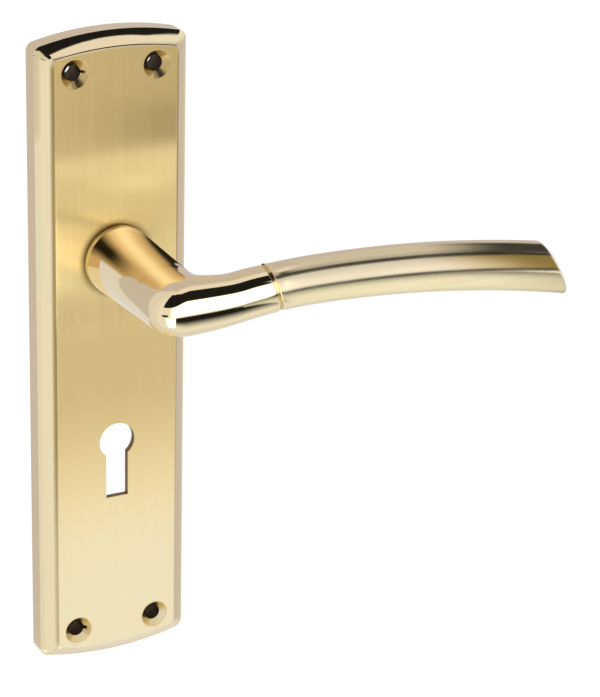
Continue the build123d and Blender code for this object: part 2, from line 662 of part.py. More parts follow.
def build():
    core = lever_core()
    return {
        "backplate": backplate(),
        "neck_bush": neck_bush(),
        "thrust_washer": thrust_washer(),
        "return_spring": return_spring(),
        "spring_anchor_pin": anchor_pin(),
        "stop_buffers": stop_buffers(),
        "spring_cover": spring_cover(),
        "cover_screws": cover_screws(),
        "lever_neck": lever_neck(core),
        "joint_ring": joint_ring(),
        "lever_grip": lever_grip(core),
        "grip_stud": stud(),
        "joint_dowels": dowels(),
        "drive_cam": drive_cam(),
        "wave_washer": wave_washer(),
        "circlip": circlip(),
        "spindle": spindle(),
        "spindle_grub_screw": spindle_grub_screw(),
    }


os.makedirs("parts", exist_ok=True)
for name, shape in build().items():
    export_step(shape, f"parts/{name}.step")
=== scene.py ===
import math

import bpy
from mathutils import Matrix, Vector


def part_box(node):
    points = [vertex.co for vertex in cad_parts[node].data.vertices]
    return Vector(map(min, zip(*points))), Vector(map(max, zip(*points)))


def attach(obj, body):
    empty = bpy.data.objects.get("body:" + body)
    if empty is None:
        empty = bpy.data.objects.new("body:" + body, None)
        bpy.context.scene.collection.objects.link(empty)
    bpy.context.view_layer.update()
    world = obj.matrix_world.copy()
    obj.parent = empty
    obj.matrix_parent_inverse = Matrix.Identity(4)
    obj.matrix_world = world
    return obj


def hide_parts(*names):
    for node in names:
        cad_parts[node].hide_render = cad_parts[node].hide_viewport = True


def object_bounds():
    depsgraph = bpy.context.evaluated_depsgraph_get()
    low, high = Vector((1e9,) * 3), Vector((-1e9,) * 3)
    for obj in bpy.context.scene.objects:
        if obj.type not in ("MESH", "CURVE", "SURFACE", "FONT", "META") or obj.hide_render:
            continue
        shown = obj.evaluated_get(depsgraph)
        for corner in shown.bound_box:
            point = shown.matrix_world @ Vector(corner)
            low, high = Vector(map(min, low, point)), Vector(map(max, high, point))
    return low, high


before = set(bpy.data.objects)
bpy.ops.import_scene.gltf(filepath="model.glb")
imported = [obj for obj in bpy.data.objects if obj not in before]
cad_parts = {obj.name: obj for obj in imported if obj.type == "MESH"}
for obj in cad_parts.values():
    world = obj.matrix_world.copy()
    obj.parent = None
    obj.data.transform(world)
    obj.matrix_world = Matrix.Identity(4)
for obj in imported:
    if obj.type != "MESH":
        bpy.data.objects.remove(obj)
CAD_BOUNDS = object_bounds()

bl_info = {
    "name": "Lever Handle on Backplate",
    "version": (1, 0, 0),
    "blender": (4, 5, 0),
    "location": "View3D > Sidebar > Lever Handle",
    "description": "Dresses a sprung lever handle on a long keyhole backplate in satin and polished brass",
    "category": "Add Mesh",
}

PLATE_LOW, PLATE_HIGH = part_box("backplate")
NECK_LOW, NECK_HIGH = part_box("lever_neck")
GRIP_LOW, GRIP_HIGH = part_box("lever_grip")
BUSH_LOW, BUSH_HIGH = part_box("neck_bush")
SPIGOT_END = -NECK_HIGH.y


# ---------------------------------------------------------------- settings

def size(name, description, default):
    return bpy.props.FloatProperty(name=name, description=description, default=default,
                                   min=0.0, unit="LENGTH", subtype="DISTANCE", precision=5)


def tilt(name, description, degrees):
    return bpy.props.FloatProperty(name=name, description=description,
                                   default=math.radians(degrees), unit="ROTATION", subtype="ANGLE")


def share(name, description, default):
    return bpy.props.FloatProperty(name=name, description=description, default=default,
                                   min=0.0, max=1.0, subtype="FACTOR")


def colour(name, description, default):
    return bpy.props.FloatVectorProperty(name=name, description=description, default=default,
                                         size=3, min=0.0, max=1.0, subtype="COLOR")


class LeverSizes(bpy.types.PropertyGroup):
    foot_radius: size("Foot radius", "Round foot of the neck, where it meets the bush", 0.0103)
    foot_chamfer: size("Foot chamfer", "Bright edge round the foot of the neck", 0.0005)
    neck_half_width: size("Neck half width", "Across the neck where the bend starts", 0.0100)
    neck_half_height: size("Neck half height", "Up the neck where the bend starts", 0.0087)
    standoff: size("Standoff", "Door face to the middle of the arm", 0.0530)
    bend_inner_radius: size("Inner bend", "Radius of the bend on the door side", 0.0057)
    bend_outer_radius: size("Outer bend", "Radius of the rounded outer corner", 0.0070)
    bend_swell: size("Bend swell", "Gain in half height per quarter turn where the bend starts", 0.0006)
    arm_half_height: size("Arm half height", "Height of the arm where the bend ends", 0.0074)
    bend_drop: size("Bend drop", "How far the bend hangs under the arch", 0.0010)
    bend_ease: size("Bend ease", "Place along the arm where drop and fullness have run out", 0.0400)
    section_ratio: share("Section ratio", "Depth of the arm's oval over its height", 0.8185)
    arch_height: size("Arch height", "Crest of the arm's middle line over the spindle", 0.00225)
    arch_crest: size("Arch crest", "Place of that crest along the arm", 0.0384)
    arch_radius: size("Arch radius", "Radius of the arm's long curve", 0.384)
    joint_place: size("Joint place", "Where the polished neck ends", 0.0264)
    joint_lean: tilt("Joint lean", "Lean of the joint away from upright", 18.0)
    ring_width: size("Ring width", "Thickness of the joint ring", 0.0011)
    grip_half_height: size("Grip half height", "Height of the grip at the joint", 0.0070)
    tip_half_height: size("Tip half height", "Height of the grip at its end", 0.0076)
    tip_place: size("Tip place", "Where the slanted end cuts the middle line", 0.1199)
    tip_lean: tilt("Tip lean", "Lean of the slanted end", 26.4)
    tip_edge: size("Tip edge", "Rounding of the slanted end's rim", 0.0013)
    joint_edge: size("Joint edge", "Broken edge on each side of the joint", 0.00015)


class PlateSizes(bpy.types.PropertyGroup):
    crease_roll: size("Crease roll", "How far the rolled crease reaches onto the flat face", 0.00066)
    crease_slope: tilt("Crease slope", "Slope of the bevel where it meets the flat face", 48.0)
    rim_roll: size("Rim roll", "How far a countersink's rolled rim reaches onto the flat face", 0.00042)
    hole_rounding: size("Hole rounding", "Softened rims of the bare holes", 0.00012)
    screw_spacing: size("Screw spacing", "Between the two columns of screw holes", 0.025)
    screw_height: size("Screw height", "Between the two rows of screw holes", 0.173)
    countersink_radius: size("Countersink radius", "Radius of a countersink at its rim", 0.0044)
    countersink_depth: size("Countersink depth", "Depth of a countersink", 0.002)
    shank_radius: size("Shank radius", "Radius of the screw holes under their countersinks", 0.00235)


class Finishes(bpy.types.PropertyGroup):
    polished_brass: colour("Polished brass", "Reflection colour of the buffed brass", (0.90, 0.775, 0.505))
    satin_brass: colour("Satin brass", "Reflection colour of the brushed brass", (0.90, 0.68, 0.31))
    grip_brass: colour("Grip brass", "Reflection colour of the finely brushed grip", (0.90, 0.77, 0.53))
    cast_brass: colour("Cast brass", "Unfinished brass inside the plate", (0.28, 0.19, 0.085))
    plated_steel: colour("Plated steel", "Bright zinc plate", (0.66, 0.66, 0.64))
    spring_steel: colour("Spring steel", "Blued spring wire", (0.30, 0.29, 0.28))
    black_steel: colour("Black steel", "Oiled black steel", (0.055, 0.053, 0.05))
    nylon: colour("Nylon", "Moulded natural nylon", (0.62, 0.60, 0.53))


class Studio(bpy.types.PropertyGroup):
    camera_place: bpy.props.FloatVectorProperty(
        name="Camera place", description="Where the camera stands", size=3,
        default=(-0.31725, -0.71015, 0.28677), unit="LENGTH", subtype="TRANSLATION")
    camera_turn: tilt("Camera turn", "Turn of the view from straight ahead, clockwise from above", 28.314)
    camera_dip: tilt("Camera dip", "How far the view looks down", 22.207)
    camera_roll: tilt("Camera roll", "Roll of the camera", 1.439)
    lens: bpy.props.FloatProperty(name="Lens", description="Focal length in millimetres", default=148.05)
    floor_drop: size("Floor drop", "Floor below the lowest point of the object", 0.22)
    tent_radius: size("Tent radius", "Distance of the light tent's cloth", 12.0)


# ---------------------------------------------------------------- shader graphs

class Wire:
    """One output of a shader node, used in ordinary arithmetic."""

    def __init__(self, graph, output):
        self.graph = graph
        self.output = output

    def maths(self, operation, *values):
        inputs = dict(enumerate(values))
        return self.graph.add("ShaderNodeMath", {"operation": operation}, inputs)

    def __add__(self, other):
        return self.maths("ADD", self, other)

    __radd__ = __add__

    def __sub__(self, other):
        return self.maths("SUBTRACT", self, other)

    def __rsub__(self, other):
        return self.maths("SUBTRACT", other, self)

    def __mul__(self, other):
        return self.maths("MULTIPLY", self, other)

    __rmul__ = __mul__

    def __abs__(self):
        return self.maths("ABSOLUTE", self)


class Graph:
    """The node tree of a material or of the world."""

    def __init__(self, owner):
        owner.use_nodes = True
        self.tree = owner.node_tree
        self.tree.nodes.clear()

    def add(self, kind, settings=None, inputs=None, output=0):
        """Add a node: its settings first, then its sockets' values or links."""
        node = self.tree.nodes.new(kind)
        for name, value in (settings or {}).items():
            if name == "stops":
                self.set_stops(node.color_ramp, value)
            else:
                setattr(node, name, value)
        for name, value in (inputs or {}).items():
            if isinstance(value, Wire):
                self.tree.links.new(value.output, node.inputs[name])
            else:
                node.inputs[name].default_value = value
        return Wire(self, node.outputs[output]) if len(node.outputs) else node

    @staticmethod
    def set_stops(ramp, stops):
        while len(ramp.elements) < len(stops):
            ramp.elements.new(0.5)
        for element, (place, value) in zip(ramp.elements, stops):
            element.position = place
            element.color = (value, value, value, 1.0)

    def rise(self, value, low, high):
        """0 below low, 1 above high, smooth between."""
        return self.add("ShaderNodeMapRange", {"interpolation_type": "SMOOTHSTEP"},
                        {"Value": value, "From Min": low, "From Max": high})

    def between(self, value, low, high, soft):
        return self.rise(value, low - soft, low + soft) * (1 - self.rise(value, high - soft, high + soft))

    def noise(self, scale, stretch=(1.0, 1.0, 1.0), detail=3.0):
        place = self.add("ShaderNodeTexCoord", output="Object")
        place = self.add("ShaderNodeMapping", {}, {"Vector": place, "Scale": stretch})
        return self.add("ShaderNodeTexNoise", {}, {"Vector": place, "Scale": scale, "Detail": detail})

    def tint(self, factor, first, second):
        """Colour that runs from first to second."""
        return self.add("ShaderNodeMix", {"data_type": "RGBA"},
                        {0: factor, 6: first, 7: second}, output=2)

    def metal(self, base, roughness, bump=None, bump_depth=0.0, **sockets):
        inputs = {"Base Color": base, "Metallic": 1.0, "Roughness": roughness}
        if bump is not None:
            inputs["Normal"] = self.add("ShaderNodeBump", {}, {
                "Height": bump, "Distance": bump_depth, "Strength": 1.0})
        inputs.update({name.replace("_", " "): value for name, value in sockets.items()})
        surface = self.add("ShaderNodeBsdfPrincipled", {}, inputs)
        self.add("ShaderNodeOutputMaterial", {}, {"Surface": surface})


def shade(colour_value, factor):
    """The same colour, lighter or darker, with its alpha."""
    return tuple(min(1.0, part * factor) for part in colour_value) + (1.0,)


def fresh_material(name):
    material = bpy.data.materials.new(name)
    return material, Graph(material)


def polished_brass(finishes, name="polished_brass", painted_shade=None):
    """Buffed and lacquered: nearly a mirror, with the faint waves that buffing leaves.

    The last argument gives painted shade: places painted darker where shade falls, also made rougher, as where the
    buff doesn't reach.
    """
    material, graph = fresh_material(name)
    waves = graph.noise(60.0, detail=1.0)
    haze = graph.noise(900.0, detail=4.0)
    base = graph.tint(haze, shade(finishes.polished_brass, 0.985), shade(finishes.polished_brass, 1.0))
    roughness = 0.035 + haze * 0.03
    if painted_shade:
        unbuffed_and_shade = painted_shade(graph)
        # painted shade: the creases are darkened towards this brown, and made rougher as unbuffed metal
        base = graph.tint(unbuffed_and_shade, base, (0.42, 0.31, 0.13, 1))
        roughness = roughness + unbuffed_and_shade * 0.2
    graph.metal(base, roughness, bump=waves, bump_depth=0.000008)
    return material


def crease_shade(graph):
    """Painted shade along the foot of the two long bevels at the satin face, fading lower down and low on the right.
    """
    place = graph.add("ShaderNodeTexCoord", output="Object")
    split = graph.add("ShaderNodeSeparateXYZ", {}, {"Vector": place})
    across, upward = (Wire(graph, split.output.node.outputs[axis]) for axis in (0, 2))
    crease = PLATE_HIGH.x - BEVEL_WIDTH
    beside = graph.between(abs(across), crease - 0.0004, crease + 0.0008, 0.0004)
    right = graph.rise(across, -0.001, 0.001)
    fading = 0.60 + graph.rise(upward, -0.100, -0.050) * 0.40
    fading = fading - right * (1 - graph.rise(upward, -0.040, 0.030)) * 0.45
    return beside * fading * graph.between(upward, PLATE_LOW.z + 0.007, PLATE_HIGH.z - 0.007, 0.002)


def brushed_brass(name, tone, stretch, roughness, anisotropic, painted_shade=None):
    """Satin brass: fine lines from the abrasive belt, along one direction."""
    material, graph = fresh_material(name)
    lines = graph.noise(700.0, stretch, detail=5.0)
    coarse = graph.noise(160.0, stretch, detail=3.0)
    streaks = graph.rise(lines * 0.6 + coarse * 0.4, 0.35, 0.65)
    base = graph.tint(streaks, shade(tone, 0.95), shade(tone, 1.02))
    if painted_shade:
        # painted shade: the mask from the last argument darkens the brass towards this dark brown
        base = graph.tint(painted_shade(graph), base, (0.26, 0.17, 0.06, 1))
    graph.metal(base, roughness + streaks * 0.05, bump=streaks, bump_depth=0.0000012,
                Anisotropic=anisotropic)
    return material


def neck_foot_shade(graph):
    """Painted shade on the plate: a narrow dark ring round the foot of the neck, where the neck's contact shadow
    falls.
    """
    place = graph.add("ShaderNodeTexCoord", output="Object")
    split = graph.add("ShaderNodeSeparateXYZ", {}, {"Vector": place})
    x, z = (Wire(graph, split.output.node.outputs[axis]) for axis in (0, 2))
    reach = x.maths("SQRT", x * x + z * z)
    return 0.85 - graph.rise(reach, BUSH_HIGH.x + 0.0003, BUSH_HIGH.x + 0.0032) * 0.85


def plate_satin(finishes):
    # the ring round the neck is painted shade
    return brushed_brass("plate_satin_brass", finishes.satin_brass, (1.0, 1.0, 0.025), 0.31, 1.0, neck_foot_shade)


def grip_satin(finishes):
    return brushed_brass("grip_satin_brass", finishes.grip_brass, (0.03, 1.0, 1.0), 0.155, 0.0)


def turned_brass(finishes):
    """Turned brass with the marks that the cutter leaves, painted darker than the satin brass as shade in the
    countersinks and the joint ring's groove.
    """
    material, graph = fresh_material("turned_brass")
    marks = graph.noise(2500.0, (1.0, 3.0, 1.0), detail=4.0)
    # painted shade: satin brass taken down to 62 to 86 per cent, the spread between being cutter marks
    base = graph.tint(marks, shade(finishes.satin_brass, 0.62), shade(finishes.satin_brass, 0.86))
    graph.metal(base, 0.15 + marks * 0.10, bump=marks, bump_depth=0.000004)
    return material


def cast_brass(finishes, name="cast_brass", painted_brightness=1.0):
    """Bare casting; the last argument, below 1, paints it darker and browner, as painted shade."""
    material, graph = fresh_material(name)
    grain = graph.noise(1500.0, detail=6.0)
    blotches = graph.noise(120.0, detail=3.0)
    base = graph.tint(blotches, shade(finishes.cast_brass, 0.8 * painted_brightness), shade(finishes.cast_brass, 1.15 * painted_brightness))
    graph.metal(base, 0.46 + grain * 0.2, bump=grain, bump_depth=0.00004)
    return material


def plain_metal(name, tone, roughness, grain_scale, grain_depth, variation=0.12):
    material, graph = fresh_material(name)
    grain = graph.noise(grain_scale, detail=4.0)
    base = graph.tint(grain, shade(tone, 1.0 - variation), shade(tone, 1.0 + variation))
    graph.metal(base, roughness + grain * 0.12, bump=grain, bump_depth=grain_depth)
    return material


def moulded_nylon(finishes):
    material, graph = fresh_material("nylon")
    grain = graph.noise(800.0, detail=2.0)
    base = graph.tint(grain, shade(finishes.nylon, 0.94), shade(finishes.nylon, 1.05))
    graph.metal(base, 0.42 + grain * 0.1, bump=grain, bump_depth=0.00001,
                Metallic=0.0, Subsurface_Weight=0.1)
    return material


# ---------------------------------------------------------------- modelling helpers

def deselect():
    if bpy.context.object and bpy.context.object.mode != "OBJECT":
        bpy.ops.object.mode_set(mode="OBJECT")
    bpy.ops.object.select_all(action="DESELECT")


def pick(*objects):
    deselect()
    for item in objects:
        item.select_set(True)
    bpy.context.view_layer.objects.active = objects[0]


def edit(item, kind="FACE"):
    pick(item)
    bpy.ops.object.mode_set(mode="EDIT")
    bpy.ops.mesh.select_mode(type=kind)
    bpy.ops.mesh.select_all(action="SELECT")


def done():
    bpy.ops.object.mode_set(mode="OBJECT")


def named(name):
    item = bpy.context.object
    item.name = name
    item.data.name = name
    return item


def settle(item):
    """Put the place into the mesh, so that the object sits at the origin."""
    pick(item)
    bpy.ops.object.transform_apply(location=True, rotation=True, scale=True)
    return item


def smooth(item, degrees=28.0, flat=None):
    """Smooth shading that keeps sharp edges sharp; faces that pass the flat test are shaded flat."""
    pick(item)
    bpy.ops.object.shade_smooth_by_angle(angle=math.radians(degrees))
    if flat:
        select_faces(item, flat)
        bpy.ops.mesh.faces_shade_flat()
        done()
    apply_modifier(item, "WEIGHTED_NORMAL", keep_sharp=True)


def apply_modifier(item, kind, **values):
    pick(item)
    modifier = item.modifiers.new(kind, kind)
    for name, value in values.items():
        setattr(modifier, name, value)
    bpy.ops.object.modifier_apply(modifier=modifier.name)


def duplicate(item, name):
    """A separate copy with its own mesh."""
    copy = item.copy()
    copy.data = item.data.copy()
    copy.name = name
    copy.data.name = name
    bpy.context.scene.collection.objects.link(copy)
    return copy


def copy_of_node(node, name):
    """A merged copy of a CAD node's mesh, its flat faces made whole."""
    copy = duplicate(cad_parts[node], name)
    copy.parent = None
    copy.hide_render = copy.hide_viewport = False
    edit(copy, "VERT")
    bpy.ops.mesh.remove_doubles(threshold=0.000001)
    bpy.ops.mesh.select_all(action="SELECT")
    bpy.ops.mesh.dissolve_limited(angle_limit=math.radians(0.2))
    done()
    return copy


def finish_piece(item, body, materials):
    item.data.materials.clear()
    for material in materials:
        item.data.materials.append(material)
    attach(item, body)
    return item


# ---------------------------------------------------------------- the lever's shape

def eased(start, start_rate, end, end_rate, along):
    """Cubic from start to end, with these rates of change at its two ends."""
    left = 1 - along
    return (left ** 2 * (start * (1 + 2 * along) + start_rate * along)
            + along ** 2 * (end * (1 + 2 * left) - end_rate * left))


def smooth_step(value):
    value = min(1.0, max(0.0, value))
    return value * value * (3 - 2 * value)


class LeverPath:
    """Oval sections of the lever, each as its middle, its upward line, its plane's normal and its half sizes."""

    def __init__(self, sizes):
        self.s = sizes
        self.shoulder = -BUSH_LOW.y
        self.bend_half_depth = sizes.arm_half_height * sizes.section_ratio
        self.bend_x = sizes.neck_half_width + sizes.bend_inner_radius
        self.bend_out = sizes.standoff - self.bend_half_depth - sizes.bend_inner_radius
        self.bend_run = math.pi / 2 * (self.bend_half_depth + sizes.bend_inner_radius)
        self.ease_run = sizes.bend_ease - self.bend_x
        self.taper = (sizes.tip_half_height - sizes.grip_half_height) / (sizes.tip_place - sizes.joint_place)
        self.fullness = (sizes.arm_half_height - sizes.grip_half_height
                         + self.taper * (sizes.joint_place - self.bend_x))

    def ease(self, x):
        return (max(0.0, self.s.bend_ease - x) / self.ease_run) ** 2

    def ease_slope(self, x):
        return -2 * max(0.0, self.s.bend_ease - x) / self.ease_run ** 2

    def middle(self, x):
        s = self.s
        return s.arch_height - (x - s.arch_crest) ** 2 / (2 * s.arch_radius) - s.bend_drop * self.ease(x)

    def slope(self, x):
        s = self.s
        return -(x - s.arch_crest) / s.arch_radius - s.bend_drop * self.ease_slope(x)

    def half_height(self, x):
        s = self.s
        return s.grip_half_height + self.taper * (x - s.joint_place) + self.fullness * self.ease(x)

    def neck(self, along):
        s = self.s
        wide = s.foot_radius + (s.neck_half_width - s.foot_radius) * along
        tall = s.foot_radius + (s.neck_half_height - s.foot_radius) * along
        out = self.shoulder + (self.bend_out - self.shoulder) * along
        return Vector((0, -out, 0)), Vector((0, 0, 1)), Vector((0, -1, 0)), tall, wide

    def outer_wall(self, angle):
        """Distance from the bend's pivot to its outer wall, a rounded right angle."""
        s = self.s
        across = 2 * s.neck_half_width + s.bend_inner_radius
        outward = 2 * self.bend_half_depth + s.bend_inner_radius
        cos, sin = math.cos(angle), math.sin(angle)
        corner = (across - s.bend_outer_radius, outward - s.bend_outer_radius)
        if across * sin <= corner[1] * cos:
            return across / cos
        if outward * cos <= corner[0] * sin:
            return outward / sin
        toward = corner[0] * cos + corner[1] * sin
        square = corner[0] ** 2 + corner[1] ** 2 - s.bend_outer_radius ** 2
        return toward + math.sqrt(toward ** 2 - square)

    def bend(self, along):
        s = self.s
        angle = math.radians(90 * along)
        cos, sin = math.cos(angle), math.sin(angle)
        reach = self.outer_wall(angle)
        middle = (reach + s.bend_inner_radius) / 2
        deep = (reach - s.bend_inner_radius) / 2
        start = self.bend_x
        lift = eased(0, 0, self.middle(start), self.slope(start) * self.bend_run, along)
        end_swell = (self.taper + self.fullness * self.ease_slope(start)) * self.bend_run
        tall = eased(s.neck_half_height, s.bend_swell, s.arm_half_height, end_swell, along)
        place = Vector((start - cos * middle, -self.bend_out - sin * middle, lift))
        return place, Vector((0, 0, 1)), Vector((sin, -cos, 0)), tall, deep

    def tilt(self, x):
        """Slope that the sections follow: upright at the bend, square to the arch from the joint on."""
        return math.atan(self.slope(x)) * smooth_step((x - self.bend_x) / (self.s.joint_place - self.bend_x))

    def arm(self, x, lean):
        """Section of the arm cut by a plane that leans back by this angle."""
        upward = Vector((-math.sin(lean), 0, math.cos(lean)))
        ahead = Vector((math.cos(lean), 0, math.sin(lean)))
        tall = self.half_height(x) / math.cos(lean - self.tilt(x))
        place = Vector((x, -self.s.standoff, self.middle(x)))
        return place, upward, ahead, tall, self.half_height(x) * self.s.section_ratio

    def cut(self, x, lean, shift, edge, way):
        """Ovals that round the rim of a cut end: way is 1 where the piece ends there, -1 where it starts."""
        place, upward, ahead, tall, deep = self.arm(x, lean)
        axis = Vector((math.cos(self.tilt(x)), 0, math.sin(self.tilt(x))))
        rings = []
        for step in range(EDGE_STATIONS + 1):
            turn = math.pi / 2 * step / EDGE_STATIONS
            back = edge * (1 - math.sin(turn))
            inset = edge * (1 - math.cos(turn))
            rings.append((place + ahead * shift - axis * way * back, upward, ahead, tall - inset, deep - inset))
        return rings[::way]

    def neck_sections(self):
        s = self.s
        place, upward, ahead, tall, wide = self.neck(0.0)
        yield place, upward, ahead, tall - s.foot_chamfer, wide - s.foot_chamfer
        foot = s.foot_chamfer / (self.bend_out - self.shoulder)
        for step in range(NECK_STATIONS + 1):
            yield self.neck(foot + (1 - foot) * step / NECK_STATIONS)
        for step in range(1, BEND_STATIONS + 1):
            yield self.bend(step / BEND_STATIONS)
        for step in range(1, JOINT_STATIONS):
            along = step / JOINT_STATIONS
            lean = s.joint_lean * smooth_step(along)
            yield self.arm(self.bend_x + (s.joint_place - self.bend_x) * along, lean)
        yield from self.cut(s.joint_place, s.joint_lean, 0.0, s.joint_edge, 1)

    def grip_sections(self):
        s = self.s
        start = s.joint_place + s.ring_width / math.cos(s.joint_lean)
        yield from self.cut(s.joint_place, s.joint_lean, s.ring_width, s.joint_edge, -1)
        for step in range(1, GRIP_STATIONS):
            x = start + (s.tip_place - s.tip_edge - start) * step / GRIP_STATIONS
            settling = 1 - smooth_step((x - start) / LEAN_RUN)
            leaning = smooth_step((x - s.tip_place + s.tip_edge + LEAN_RUN) / LEAN_RUN)
            own = self.tilt(x)
            yield self.arm(x, own + (s.joint_lean - own) * settling + (s.tip_lean - own) * leaning)
        yield from self.cut(s.tip_place, s.tip_lean, 0.0, s.tip_edge, 1)


OVAL_POINTS = 72
NECK_STATIONS = 16
BEND_STATIONS = 48
JOINT_STATIONS = 24
GRIP_STATIONS = 70
EDGE_STATIONS = 7
LEAN_RUN = 0.036         # length of arm over which the sections turn to a slanted cut


def add_oval(place, upward, ahead, tall, deep):
    """One closed oval in edit mode: its height along upward, its plane square to ahead."""
    turn = Matrix((upward.cross(ahead), upward, ahead)).transposed()
    bpy.ops.mesh.select_all(action="DESELECT")
    bpy.ops.mesh.primitive_circle_add(vertices=OVAL_POINTS, radius=tall, fill_type="NOTHING",
                                      location=place, rotation=turn.to_euler())
    bpy.ops.transform.resize(value=(deep / tall, 1, 1), orient_type="GLOBAL", orient_matrix=turn,
                             orient_matrix_type="GLOBAL", center_override=place)


def lofted(name, sections):
    """A closed skin over a row of ovals."""
    deselect()
    bpy.ops.mesh.primitive_circle_add(vertices=3, radius=0.001)
    skin = named(name)
    bpy.ops.object.mode_set(mode="EDIT")
    bpy.ops.mesh.select_all(action="SELECT")
    bpy.ops.mesh.delete(type="VERT")
    for section in sections:
        add_oval(*section)
    bpy.ops.mesh.select_mode(type="EDGE")
    bpy.ops.mesh.select_all(action="SELECT")
    bpy.ops.mesh.bridge_edge_loops()
    bpy.ops.mesh.select_all(action="SELECT")
    bpy.ops.mesh.fill_holes(sides=OVAL_POINTS)
    bpy.ops.mesh.select_all(action="SELECT")
    bpy.ops.mesh.normals_make_consistent(inside=False)
    done()
    settle(skin)
    smooth(skin)
    return skin


def slice_off(item, plane, keep_front):
    place, normal = plane
    edit(item)
    bpy.ops.mesh.bisect(plane_co=place, plane_no=normal, use_fill=True,
                        clear_inner=keep_front, clear_outer=not keep_front)
    done()


def select_faces(item, test):
    """Select the faces whose centre and normal pass the test, and leave edit mode open."""
    edit(item)
    bpy.ops.mesh.select_all(action="DESELECT")
    done()
    for polygon in item.data.polygons:
        polygon.select = bool(test(polygon.center, polygon.normal))
    bpy.ops.object.mode_set(mode="EDIT")


# ---------------------------------------------------------------- operators

def settings():
    return bpy.context.scene


class LEVER_OT_neck(bpy.types.Operator):
    """Polished neck with its bend, from the bush to the joint, and the spigot behind it"""

    bl_idname = "lever.neck"
    bl_label = "Neck"

    def execute(self, context):
        path = LeverPath(context.scene.lever_sizes)
        neck = lofted("neck_polished", path.neck_sections())
        finish_piece(neck, "lever", [MATERIALS["polished_brass"]])
        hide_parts("lever_neck")

        spigot = copy_of_node("lever_neck", "neck_spigot")
        slice_off(spigot, (Vector((0, -path.shoulder, 0)), Vector((0, -1, 0))), keep_front=False)
        smooth(spigot)
        finish_piece(spigot, "lever", [MATERIALS["cast_brass"]])
        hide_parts("lever_neck")
        return {"FINISHED"}


class LEVER_OT_grip(bpy.types.Operator):
    """Satin grip with its slanted end"""

    bl_idname = "lever.grip"
    bl_label = "Grip"

    def execute(self, context):
        path = LeverPath(context.scene.lever_sizes)
        grip = lofted("grip_satin", path.grip_sections())
        finish_piece(grip, "lever", [MATERIALS["grip_satin"]])
        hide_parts("lever_grip")
        return {"FINISHED"}


def select_edges(item, test):
    """Select the edges whose two ends both pass the test, and leave edit mode open."""
    edit(item, "EDGE")
    bpy.ops.mesh.select_all(action="DESELECT")
    done()
    for line in item.data.edges:
        line.select = all(test(item.data.vertices[end].co) for end in line.vertices)
    bpy.ops.object.mode_set(mode="EDIT")


def rolled_edge(reach, slope):
    """A rounded edge from the slope to the flat: how far in from the old edge, and how deep, step by step."""
    radius = reach / math.tan(slope / 2)
    turns = [slope * (1 - step / ROLL_STEPS) for step in range(ROLL_STEPS + 1)]
    return [(reach - radius * math.sin(turn), radius * (1 - math.cos(turn))) for turn in turns]


def draw_loop(centre, start, rings, extrude=True):
    """Extrude the selected loop from one ring to the next: half width, half height and depth of each."""
    for ring in rings:
        push = {"value": (0, ring[2] - start[2], 0)}
        if extrude:
            bpy.ops.mesh.extrude_edges_move(TRANSFORM_OT_translate=push)
        else:
            bpy.ops.transform.translate(**push)
        bpy.ops.transform.resize(value=(ring[0] / start[0], 1, ring[1] / start[1]), center_override=centre)
        start, extrude = ring, True


def near(value, wanted):
    return abs(value - wanted) < 0.00002


def rebuild_face(plate, sizes):
    """Take out the flat face and the countersinks, roll the crease and the rims, and close the face again."""
    front = PLATE_LOW.y
    middle = Vector((0, front, (PLATE_LOW.z + PLATE_HIGH.z) / 2))
    half_sizes = (PLATE_HIGH.x - BEVEL_WIDTH, PLATE_HIGH.z - middle.z - END_BEVEL)
    screws = [middle + Vector((side * sizes.screw_spacing / 2, 0, end * sizes.screw_height / 2))
              for side in (-1, 1) for end in (-1, 1)]

    def from_screw(place):
        return min(math.hypot(place.x - screw.x, place.z - screw.z) for screw in screws)

    def on_face_or_cone(centre, facing):
        flat = facing.y < -0.999 and near(centre.y, front)
        cone = centre.y < front + sizes.countersink_depth - 0.00002 and from_screw(centre) < sizes.countersink_radius
        return flat or cone

    def on_crease(place):
        outer = abs(place.x) > half_sizes[0] - 0.001 or abs(place.z - middle.z) > half_sizes[1] - 0.0025
        return near(place.y, front) and outer and from_screw(place) > sizes.countersink_radius + 0.0005

    select_faces(plate, on_face_or_cone)
    bpy.ops.mesh.delete(type="FACE")
    done()
    select_edges(plate, on_crease)
    rings = [(half_sizes[0] - along, half_sizes[1] - along, deep)
             for along, deep in rolled_edge(sizes.crease_roll, sizes.crease_slope)]
    draw_loop(middle, (*half_sizes, 0.0), rings, extrude=False)
    done()

    radius, root = sizes.countersink_radius, front + sizes.countersink_depth
    rings = [(radius + along, radius + along, deep)
             for along, deep in rolled_edge(sizes.rim_roll, COUNTERSINK_SLOPE)]
    for screw in screws:
        def on_root(place):
            reach = math.hypot(place.x - screw.x, place.z - screw.z)
            return near(place.y, root) and near(reach, sizes.shank_radius)

        select_edges(plate, on_root)
        draw_loop(screw, (sizes.shank_radius, sizes.shank_radius, sizes.countersink_depth), rings)
        done()

    fill_face(plate)


def fill_face(plate):
    """Fill the open face round its holes; fill only works on a large mesh with no edge upright."""
    edit(plate, "EDGE")
    bpy.ops.transform.resize(value=(1000, 1000, 1000), center_override=(0, 0, 0))
    bpy.ops.transform.rotate(value=0.8, orient_axis="Y", center_override=(0, 0, 0))
    bpy.ops.mesh.select_all(action="DESELECT")
    bpy.ops.mesh.select_non_manifold(extend=False, use_wire=False, use_boundary=True, use_multi_face=False,
                                     use_non_contiguous=False, use_verts=False)
    bpy.ops.mesh.fill(use_beauty=False)
    bpy.ops.mesh.select_all(action="SELECT")
    bpy.ops.mesh.normals_make_consistent(inside=False)
    bpy.ops.transform.rotate(value=-0.8, orient_axis="Y", center_override=(0, 0, 0))
    bpy.ops.transform.resize(value=(0.001, 0.001, 0.001), center_override=(0, 0, 0))
    done()


